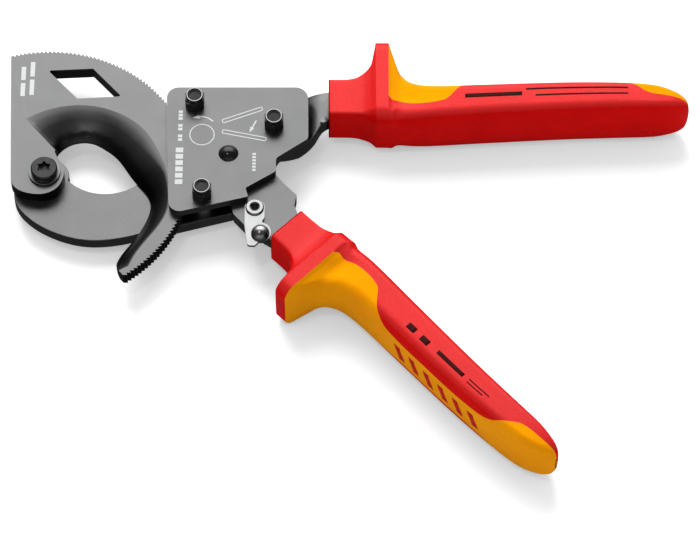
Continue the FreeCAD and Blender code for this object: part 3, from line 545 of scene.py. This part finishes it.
def grip_station(run, at):
    """The grip's station at a fractional place in one smooth run of stations."""
    start, end = run
    rows = range(start, end + 1)

    def value(pick):
        return smooth_value([(row, pick(GRIP_STATIONS[row])) for row in rows], at)

    outer = (value(lambda row: row[0][0]), value(lambda row: row[0][1]))
    inner = (value(lambda row: row[1][0]), value(lambda row: row[1][1]))
    corner = tuple(value(lambda row, part=part: row[4][part]) for part in range(3))
    return outer, inner, value(lambda row: row[2]), value(lambda row: row[3]), corner


def corner_point(share, corner):
    """A quarter section: share 0 is the middle of the top and 1 the middle of the wall."""
    flat, upright, full = corner
    if share < TOP_SHARE:
        return flat * share / TOP_SHARE, 1.0
    if share > 1 - WALL_SHARE:
        return 1.0, upright * (1 - share) / WALL_SHARE
    bend = (share - TOP_SHARE) / BEND_SHARE
    rest = 1 - bend
    control = (full + (1 - full) * (flat + 1) / 2, full + (1 - full) * (1 + upright) / 2)
    across = flat * rest**2 + 2 * control[0] * bend * rest + bend**2
    high = rest**2 + 2 * control[1] * bend * rest + upright * bend**2
    return across, high


def section_point(station, turn):
    """A point of the grip in its own axes: along, outwards, up from its mid-plane."""
    outer, inner, half, dip, corner = station
    turn %= 1.0
    quarter = min(int(turn * 4), 3)
    share = turn * 4 - quarter
    from_top = 1 - share if quarter in (0, 2) else share
    across, high = corner_point(from_top, corner)
    across *= -1 if quarter in (0, 3) else 1
    high *= 1 if quarter < 2 else -1
    outward = (1 + across) / 2
    along = inner[0] + (outer[0] - inner[0]) * outward
    in_saddle = min(max((outward - SADDLE_START) / SADDLE_REACH, 0), 1)
    half -= dip * in_saddle**2 * (3 - 2 * in_saddle)
    return Vector((along, inner[1] + (outer[1] - inner[1]) * outward, high * half))


def grip_stations():
    """Stations close enough together for a smooth grip, and how many lie before the colour edge."""
    stations = []
    ridge_back = 0
    for run in GRIP_RUNS:
        for row in range(run[0], run[1]):
            here, after = GRIP_STATIONS[row], GRIP_STATIONS[row + 1]
            reach = max((Vector(after[side]) - Vector(here[side])).length for side in (0, 1))
            steps = max(2, math.ceil(reach / RING_SPACING))
            stations += [grip_station(run, row + step / steps) for step in range(steps)]
        if run[1] == RIDGE_BACK:
            ridge_back = len(stations)
    stations.append(grip_station(GRIP_RUNS[-1], GRIP_RUNS[-1][1]))
    return stations, ridge_back


def colour_turn(station):
    """The turn round the section at which the two colours meet."""
    along = (station[0][0] + station[1][0]) / 2
    return smooth_value(COLOUR_EDGE, min(max(along, COLOUR_EDGE[0][0]), COLOUR_EDGE[-1][0]))


def towards_spine(point, station):
    """The point's partner on the inside of the moulding."""
    outer, inner = station[:2]
    along = min(max((outer[0] + inner[0]) / 2, SPINE_ENDS[0]), SPINE_ENDS[1])
    centre = Vector((along, (outer[1] + inner[1]) / 2, 0))
    return centre + (point - centre) * GRIP_WALL


# Halvings that find a place along the grip, and the small steps that give a direction there.
HALVINGS = 24
STEP_ALONG = 0.4
STEP_ROUND = 0.004


def station_at(along):
    """The station of the grip's body whose outer edge lies at a distance along it."""
    low, high = (float(row) for row in GRIP_RUNS[-1])
    for _ in range(HALVINGS):
        middle = (low + high) / 2
        if grip_station(GRIP_RUNS[-1], middle)[0][0] < along:
            low = middle
        else:
            high = middle
    return grip_station(GRIP_RUNS[-1], low)


def surface_at(along, turn):
    """A point of the grip's body and its outward direction."""
    here = station_at(along)
    point = section_point(here, turn)
    ahead = section_point(station_at(along + STEP_ALONG), turn) - point
    round_it = section_point(here, turn + STEP_ROUND) - section_point(here, turn - STEP_ROUND)
    return point, ahead.cross(round_it).normalized()


class Grip:
    """One two-colour grip, its own axes set by where the CAD grip lies."""

    def __init__(self, name, body, corner, direction, outwards, guard_share):
        self.name = name
        self.guard_share = guard_share
        self.body = body
        low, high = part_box(name + "_shell")
        self.origin = Vector((corner[0], corner[1], (low.z + high.z) / 2 / MM))
        self.along = Vector((math.cos(direction), math.sin(direction), 0))
        self.outwards = Vector((-self.along.y, self.along.x, 0)) * outwards
        self.mirrored = outwards < 0

    def world(self, point):
        """A point of the common shape in the frame, with this grip's own reach of guard."""
        outward = point.y + max(point.y - GUARD_ROOT, 0) * (self.guard_share - 1)
        return self.origin + self.along * point.x + self.outwards * outward + Vector((0, 0, point.z))

    def piece(self, suffix, outer, inner, faces, material):
        """A closed piece of this grip between two sheets in its own axes, moving with its body."""
        if not self.mirrored:
            faces = [tuple(reversed(face)) for face in faces]
        points, solid = thicken(outer, inner, faces)
        made = new_piece(self.name + suffix, [self.world(point) for point in points], solid, material)
        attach(made, self.body)
        return made

    def build(self):
        """The red shell and the yellow insert, from one surface split along the colour edge."""
        stations, ridge_back = grip_stations()
        columns = RED_COLUMNS + YELLOW_COLUMNS
        outer, inner = [], []
        for station in stations:
            edge = colour_turn(station)
            turns = [-edge + 2 * edge * step / RED_COLUMNS for step in range(RED_COLUMNS)]
            turns += [edge + (1 - 2 * edge) * step / YELLOW_COLUMNS for step in range(YELLOW_COLUMNS)]
            for turn in turns:
                outer.append(section_point(station, turn))
                inner.append(towards_spine(outer[-1], station))
        red, yellow = [], []
        for row in range(len(stations) - 1):
            for column in range(columns):
                following = (column + 1) % columns
                face = (
                    row * columns + column, row * columns + following,
                    (row + 1) * columns + following, (row + 1) * columns + column,
                )
                is_yellow = column >= RED_COLUMNS and row >= ridge_back
                (yellow if is_yellow else red).append(face)
        for row in (0, len(stations) - 1):
            station = stations[row]
            middle = (Vector(station[0]) + Vector(station[1])) / 2
            outer.append(Vector((middle.x, middle.y, 0)))
            inner.append(towards_spine(outer[-1], station))
            for column in range(columns):
                face = [len(outer) - 1, row * columns + column, row * columns + (column + 1) % columns]
                if row == 0:
                    face.reverse()
                is_yellow = column >= RED_COLUMNS and row > 0
                (yellow if is_yellow else red).append(tuple(reversed(face)))
        shell = self.piece("_red", outer, inner, red, RED)
        insert = self.piece("_yellow", outer, inner, yellow, YELLOW)
        for made, node in ((shell, "_shell"), (insert, "_insert")):
            round_edges(made, GRIP_ROUNDING, GRIP_SHARP_DEGREES)
            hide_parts(self.name + node)

    def build_ribs(self):
        """Small moulded ribs across the flat end of the guard."""
        front, back = GRIP_STATIONS[RIDGE_FRONT][0], GRIP_STATIONS[RIDGE_BACK][0]
        rows = []
        for rib in range(RIB_COUNT):
            middle = RIB_PITCH * (rib - (RIB_COUNT - 1) / 2)
            for along in (front[0] + RIB_INSET, back[0] - RIB_INSET):
                for half, out in RIB_SECTION:
                    outward = front[1] + out
                    rows += [(along, outward, middle - half), (along, outward, middle + half)]
        faces = []
        for rib in range(RIB_COUNT):
            low = rib * RIB_CORNERS
            sides = ((0, 1, 3, 2), (4, 6, 7, 5), (0, 2, 6, 4), (1, 5, 7, 3), (2, 3, 7, 6), (0, 4, 5, 1))
            faces += [tuple(low + corner for corner in side) for side in sides]
        if self.mirrored:
            faces = [tuple(reversed(face)) for face in faces]
        points = [self.world(Vector(row)) for row in rows]
        ribs = new_piece(self.name + "_guard_ribs", points, faces, RED, smooth=False)
        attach(ribs, self.body)

    def print_marks(self, suffix, ink, marks):
        """Plain bars printed on the grip; each is (start, end, first turn, last turn, slant)."""
        outer, inner, faces = [], [], []
        for start, end, first, last, slant in marks:
            long_steps = max(2, math.ceil((end - start) / PRINT_STEP))
            base = len(outer)
            for row in range(long_steps + 1):
                for column in range(PRINT_COLUMNS + 1):
                    across = column / PRINT_COLUMNS
                    turn = first + (last - first) * column / PRINT_COLUMNS
                    along = start + (end - start) * row / long_steps + slant * across
                    point, normal = surface_at(along, turn)
                    outer.append(point + normal * PRINT_PROUD)
                    inner.append(point - normal * PRINT_SUNK)
            wide = PRINT_COLUMNS + 1
            for row in range(long_steps):
                for column in range(PRINT_COLUMNS):
                    here = base + row * wide + column
                    faces.append((here, here + 1, here + wide + 1, here + wide))
        self.piece(suffix, outer, inner, faces, ink)


# Each grip: its name and body, the middle of its front end as an offset from the handle pivot,
# its direction in degrees, the side its outer edge is on, and its guard's reach as a share.
GRIPS = (
    ("fixed_grip", "frame", (37.5, 24.3), 0.0, 1, 1.0),
    ("moving_grip", "moving_handle", (22.1, -31.8), -45.5, -1, 0.91),
)


def build_grips():
    """Both grips, with their ribs and their printed marks."""
    low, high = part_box("handle_pivot_rivet")
    pivot = (low + high) / 2 / MM
    for name, body, offset, degrees, outwards, guard_share in GRIPS:
        corner = (pivot.x + offset[0], pivot.y + offset[1])
        grip = Grip(name, body, corner, math.radians(degrees), outwards, guard_share)
        grip.build()
        grip.build_ribs()
        grip.print_marks("_print", DARK_INK, GRIP_PRINT[grip.name])
        grip.print_marks("_strokes", RED_INK, BAND_STROKES)


# ---------------------------------------------------------------- printed marks

# Plain blocks as (left, low, right, high), measured in millimetres from the pivot beside them.
PLATE_BLOCKS = [(-19.8, low, -17.0, low + 2.1) for low in (-13.6, -10.8, -8.0, -5.2, -2.4, 0.4)]
PLATE_BLOCKS += [(-19.1, low, -17.5, low + 1.2) for low in (5.5, 7.1, 10.2, 11.8, 14.9, 16.4, 17.9)]
PLATE_BLOCKS += [(9.0, low, 10.3, low + 0.9) for low in (-7.8, -6.4, -5.0, -3.6, -2.2, -0.8)]
BLADE_BLOCKS = [(-10.7, 34.3, -9.0, 40.2), (-10.7, 41.6, -9.0, 47.6)]
BLADE_BLOCKS += [(-7.3, 34.8, -5.6, 41.8), (-7.3, 43.2, -5.6, 49.8)]

# Arrows: width of the line, length of the head, and half of the head's width as a share of that. The
# bent one goes left and up from its start by equal steps, with a drop that grows with their square.
ARROW_LINE = 0.55
ARROW_HEAD = 2.6
HEAD_WING_SHARE = 0.32
STRAIGHT_ARROW = ((10.3, 14.6), (8.8, 11.5))
BENT_ARROW_START = (-6.0, 14.2)
BENT_ARROW_STEP = 0.75
BENT_ARROW_DROP = 0.066
BENT_ARROW_POINTS = 8

# How far ink stands out of a flat face, and how thick it is.
INK_PROUD = 0.03
INK_DEPTH = 0.1

# The plate's plain drawing: a ring and two narrow bars, in millimetres from the handle pivot.
DRAWN_LINE = 0.4
RING_MIDDLE = (-10.1, 8.3)
RING_RADIUS = 4.6
RING_SIDES = 24
DRAWN_BARS = (((-2.4, 14.2), (12.4, 20.0)), ((-2.4, 9.8), (14.0, 6.2)))
BAR_HALF_WIDTH = 0.75


def block_outline(block):
    """A block's four corners."""
    left, low, right, high = block
    return [(left, low), (right, low), (right, high), (left, high)]


def line_outlines(points, width):
    """A line of even width along a path of plan points."""
    outlines = []
    for start, end in zip(points, points[1:]):
        across = (end - start).orthogonal().normalized() * width / 2
        outlines.append([start - across, end - across, end + across, start + across])
    return outlines


def drawing_outlines():
    """A plain ring and two bars where the plate carries a drawing."""
    turns = [math.tau * step / RING_SIDES for step in range(RING_SIDES + 1)]
    middle = Vector(RING_MIDDLE)
    ring = [middle + Vector((math.cos(turn), math.sin(turn))) * RING_RADIUS for turn in turns]
    outlines = line_outlines(ring, DRAWN_LINE)
    for bar in DRAWN_BARS:
        start, end = Vector(bar[0]), Vector(bar[1])
        side = (end - start).orthogonal().normalized() * BAR_HALF_WIDTH
        corners = [start - side, end - side, end + side, start + side, start - side]
        outlines += line_outlines(corners, DRAWN_LINE)
    return outlines


def arrow_outlines(path):
    """A line of even width along a path, and a pointed head on its last point."""
    points = [Vector(point) for point in path]
    outlines = line_outlines(points, ARROW_LINE)
    ahead = (points[-1] - points[-2]).normalized()
    wing = ahead.orthogonal() * ARROW_HEAD * HEAD_WING_SHARE
    foot = points[-1]
    outlines.append([foot - wing, foot + ahead * ARROW_HEAD, foot + wing])
    return outlines


def print_flat(name, body, pivot, face, outlines):
    """White ink on a flat face: thin solids over plan outlines round a pivot."""
    low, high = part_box(pivot)
    middle = (low + high) / 2 / MM
    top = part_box(face)[1].z / MM
    outer, faces = [], []
    for outline in outlines:
        base = len(outer)
        ring = [Vector((middle.x + x, middle.y + y, top + INK_PROUD)) for x, y in outline]
        turn = sum(ring[i - 1].x * ring[i].y - ring[i].x * ring[i - 1].y for i in range(len(ring)))
        outer += ring if turn > 0 else ring[::-1]
        faces.append(tuple(range(base, len(outer))))
    inner = [point - Vector((0, 0, INK_DEPTH)) for point in outer]
    points, solid = thicken(outer, inner, faces)
    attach(new_piece(name, points, solid, WHITE_INK, smooth=False), body)


def build_marks():
    """Plain blocks where the tool carries print, a plain drawing, and two arrows for its movements."""
    left, low = BENT_ARROW_START
    bend = []
    for step in range(BENT_ARROW_POINTS):
        moved = BENT_ARROW_STEP * step
        bend.append((left - moved, low + moved - BENT_ARROW_DROP * step**2))
    arrows = arrow_outlines(bend) + arrow_outlines(STRAIGHT_ARROW)
    blocks = [block_outline(block) for block in PLATE_BLOCKS]
    drawn = blocks + arrows + drawing_outlines()
    print_flat("plate_print", "frame", "handle_pivot_rivet", "front_plate", drawn)
    blocks = [block_outline(block) for block in BLADE_BLOCKS]
    print_flat("blade_print", "blade", "blade_pivot_screw", "moving_blade", blocks)


# ---------------------------------------------------------------- studio

# The floor: half of its width, its gap below the tool, what polished steel sees, and its glow in view.
FLOOR_REACH = 3000
FLOOR_GAP = 0.05
FLOOR_SEEN_BY_STEEL = grey(0.07)
FLOOR_GLOW = grey(0.34)


def build_floor():
    """A plain pale floor that looks white, and dark to the polished steel above it."""
    material, tree, surface, where = new_material("studio_floor")
    connect(
        tree, surface, Roughness=0.9, Specular_IOR_Level=0.0,
        Base_Color=blend_colour(tree, noise(tree, where, 60, 2), grey(0.9), grey(0.92)),
    )
    dark = new_node(tree, "Emission", Color=FLOOR_SEEN_BY_STEEL, Strength=1.0)
    path = new_node(tree, "LightPath")
    mixed = new_node(tree, "MixShader", Fac=path.outputs["Is Glossy Ray"])
    glow = new_node(tree, "Emission", Color=FLOOR_GLOW, Strength=path.outputs["Is Camera Ray"])
    lit = new_node(tree, "AddShader")
    tree.links.new(surface.outputs["BSDF"], lit.inputs[0])
    tree.links.new(glow.outputs["Emission"], lit.inputs[1])
    tree.links.new(lit.outputs["Shader"], mixed.inputs[1])
    tree.links.new(dark.outputs["Emission"], mixed.inputs[2])
    tree.links.new(mixed.outputs["Shader"], tree.nodes["Material Output"].inputs["Surface"])
    low = CAD_BOX[0].z / MM - FLOOR_GAP
    signs = ((-1, -1), (1, -1), (1, 1), (-1, 1))
    corners = [(x * FLOOR_REACH, y * FLOOR_REACH, low) for x, y in signs]
    floor = new_piece("studio_floor", corners, [(0, 1, 2, 3)], material, smooth=False)


# The tent that polished parts see, by the direction they look in, as parts of a unit vector: each
# pair is where a change starts and where it ends. It's bright behind the tool, and weakly lit in front.
TENT_HEIGHT = (0.08, 0.3)
TENT_BEHIND = (0.3, 0.5)
TENT_SIDES = (0.35, 0.7)
FRONT_REACH = (-0.45, -0.75)
FRONT_HEIGHT = (0.8, 0.55)
AWAY_FROM_BEHIND = 0.015
SIDE_SHARE = 0.12
FRONT_SHARE = 0.13
TENT_DARK = 0.035
TENT_BRIGHT = 2.65
AMBIENT = 0.55


def build_world():
    """White surroundings, which polished parts see as a soft tent that is dark below."""
    world = bpy.data.worlds.new("studio")
    bpy.context.scene.world = world
    world.use_nodes = True
    tree = world.node_tree
    background = tree.nodes["Background"]
    direction = new_node(tree, "TexCoord").outputs["Generated"]
    parts = new_node(tree, "SeparateXYZ", Vector=direction)
    high = spread(tree, parts.outputs["Z"], *TENT_HEIGHT, 0.0, 1.0)
    behind = spread(tree, parts.outputs["Y"], *TENT_BEHIND, AWAY_FROM_BEHIND, 1.0)
    central = spread(tree, absolute(tree, parts.outputs["X"]), *TENT_SIDES, 1.0, SIDE_SHARE)
    tent = combined(tree, "MULTIPLY", combined(tree, "MULTIPLY", high, behind), central)
    front = spread(tree, parts.outputs["Y"], *FRONT_REACH, 0.0, FRONT_SHARE)
    front_low = spread(tree, parts.outputs["Z"], *FRONT_HEIGHT, 0.0, 1.0)
    summed = combined(tree, "ADD", tent, combined(tree, "MULTIPLY", front, front_low))
    seen = spread(tree, summed, 0.0, 1.0, TENT_DARK, TENT_BRIGHT)
    path = new_node(tree, "LightPath")
    diffuse = path.outputs["Is Diffuse Ray"]
    ambient = new_node(tree, "Mix", Factor=diffuse, A=1.0, B=AMBIENT).outputs["Result"]
    level = new_node(tree, "Mix", Factor=path.outputs["Is Glossy Ray"], A=ambient, B=seen)
    tree.links.new(level.outputs["Result"], background.inputs["Strength"])
    background.inputs["Color"].default_value = grey(1.0)
    world.cycles.sampling_method = "NONE"


# Each lamp: name, width in metres, watts, offset from the tool's middle in metres, and whether polished
# parts reflect it.
LAMPS = (
    ("soft_light", 0.8, 14.3, (-0.15, 0.8, 0.85), False),
    ("small_light", 0.1, 0.8, (-0.25, -0.1, 1.15), True),
)


def add_lamp(name, size, power, where, reflected):
    """A square lamp facing the middle of the tool."""
    lamp = bpy.data.lights.new(name, "AREA")
    lamp.size = size
    lamp.energy = power
    light = bpy.data.objects.new(name, lamp)
    light.location = (CAD_BOX[0] + CAD_BOX[1]) / 2 + Vector(where)
    light.rotation_euler = Vector(where).to_track_quat("Z", "Y").to_euler()
    light.visible_glossy = reflected
    bpy.context.scene.collection.objects.link(light)


# The camera: its elevation in degrees, its distance in metres, its lens and sensor in millimetres,
# and the point it faces, in millimetres from the middle of the tool in plan and up from the floor.
CAMERA_ELEVATION = 59.7
CAMERA_DISTANCE = 1.33
CAMERA_LENS = 184.6
CAMERA_SENSOR = 36
CAMERA_AIM = (1.6, -9.8)
CAMERA_AIM_HEIGHT = 9.8


def build_camera():
    """The long-lens view from above the tool's lower edge."""
    elevation = math.radians(CAMERA_ELEVATION)
    middle = (CAD_BOX[0] + CAD_BOX[1]) / 2
    target = Vector((
        middle.x + CAMERA_AIM[0] * MM, middle.y + CAMERA_AIM[1] * MM, CAMERA_AIM_HEIGHT * MM,
    ))
    away = Vector((0, -math.cos(elevation), math.sin(elevation)))
    data = bpy.data.cameras.new("camera")
    data.lens = CAMERA_LENS
    data.sensor_width = CAMERA_SENSOR
    camera = bpy.data.objects.new("camera", data)
    camera.location = target + away * CAMERA_DISTANCE
    camera.rotation_euler = away.to_track_quat("Z", "Y").to_euler()
    bpy.context.scene.collection.objects.link(camera)
    bpy.context.scene.camera = camera


finish_cad_nodes()
build_grips()
build_marks()
build_floor()
build_world()
for lamp in LAMPS:
    add_lamp(*lamp)
build_camera()
bpy.context.scene.view_settings.view_transform = "Standard"
